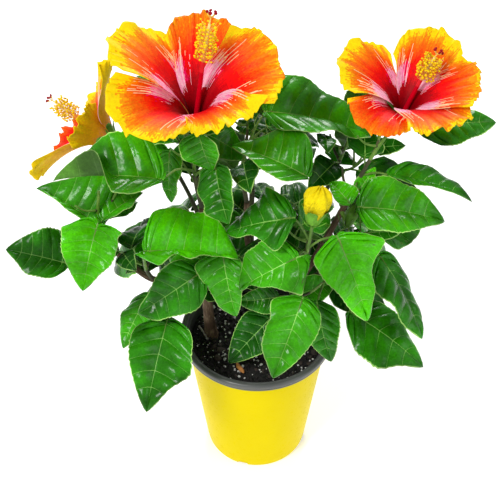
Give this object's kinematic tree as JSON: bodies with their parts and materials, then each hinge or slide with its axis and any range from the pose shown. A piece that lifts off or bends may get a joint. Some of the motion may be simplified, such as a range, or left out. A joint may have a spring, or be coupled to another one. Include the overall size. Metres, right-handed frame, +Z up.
{
  "type": "potted hibiscus shrub",
  "caption": "Bushy hibiscus shrub with woody stems, broad toothed leaves and large ruffled orange-red blooms, in a round yellow nursery pot with a dark liner.",
  "frame": {"origin": "middle of the pot's flat underside", "axes": "+Z up along the pot's axis; the plant's best side, with the lowest leaves and the bud in front, looks along -Y"},
  "size_m": [0.4444, 0.3009, 0.5038],
  "materials": {
    "pot": "smooth yellow moulded plastic with a soft gloss",
    "liner": "dark grey moulded plastic with a banded rim",
    "soil": "moist bark potting mix with white perlite",
    "bark": "grey-brown young bark with fine ridges",
    "foliage": "glossy green leaves with pale veins and thin pale margins",
    "twig": "smooth green to brown young shoots and leaf stalks",
    "petal": "satin petals, crimson at the throat, red and orange outside it, yellow at the ruffled rim",
    "stamen": "red column with a cloud of yellow anthers and dark red stigma pads"
  },
  "bodies": {
    "root": {"pot": "pot", "pot_liner": "liner", "soil": "soil", "stem_left": "bark", "stem_middle": "bark", "stem_right": "bark", "bough_far_left": "bark", "bough_upper_left": "bark", "bough_back_left": "bark", "bough_middle": "bark", "bough_back": "bark", "bough_far_right": "bark", "bough_front": "bark", "bough_low_right": "bark", "bough_back_right": "bark", "shoot_far_left": "foliage", "shoot_upper_left": "foliage", "shoot_upper_back_left": "foliage", "shoot_middle": "foliage", "shoot_far_right": "foliage", "shoot_bud_front": "foliage", "shoot_low_right": "foliage", "shoot_low_front": "foliage", "shoot_low_left": "foliage", "shoot_front_left": "foliage", "shoot_inner_left": "foliage", "shoot_back_left": "foliage", "shoot_back": "foliage", "shoot_back_right": "foliage", "shoot_low_back": "foliage", "shoot_low_back_left": "foliage", "shoot_low_back_right": "foliage"}
  },
  "joints": []
}
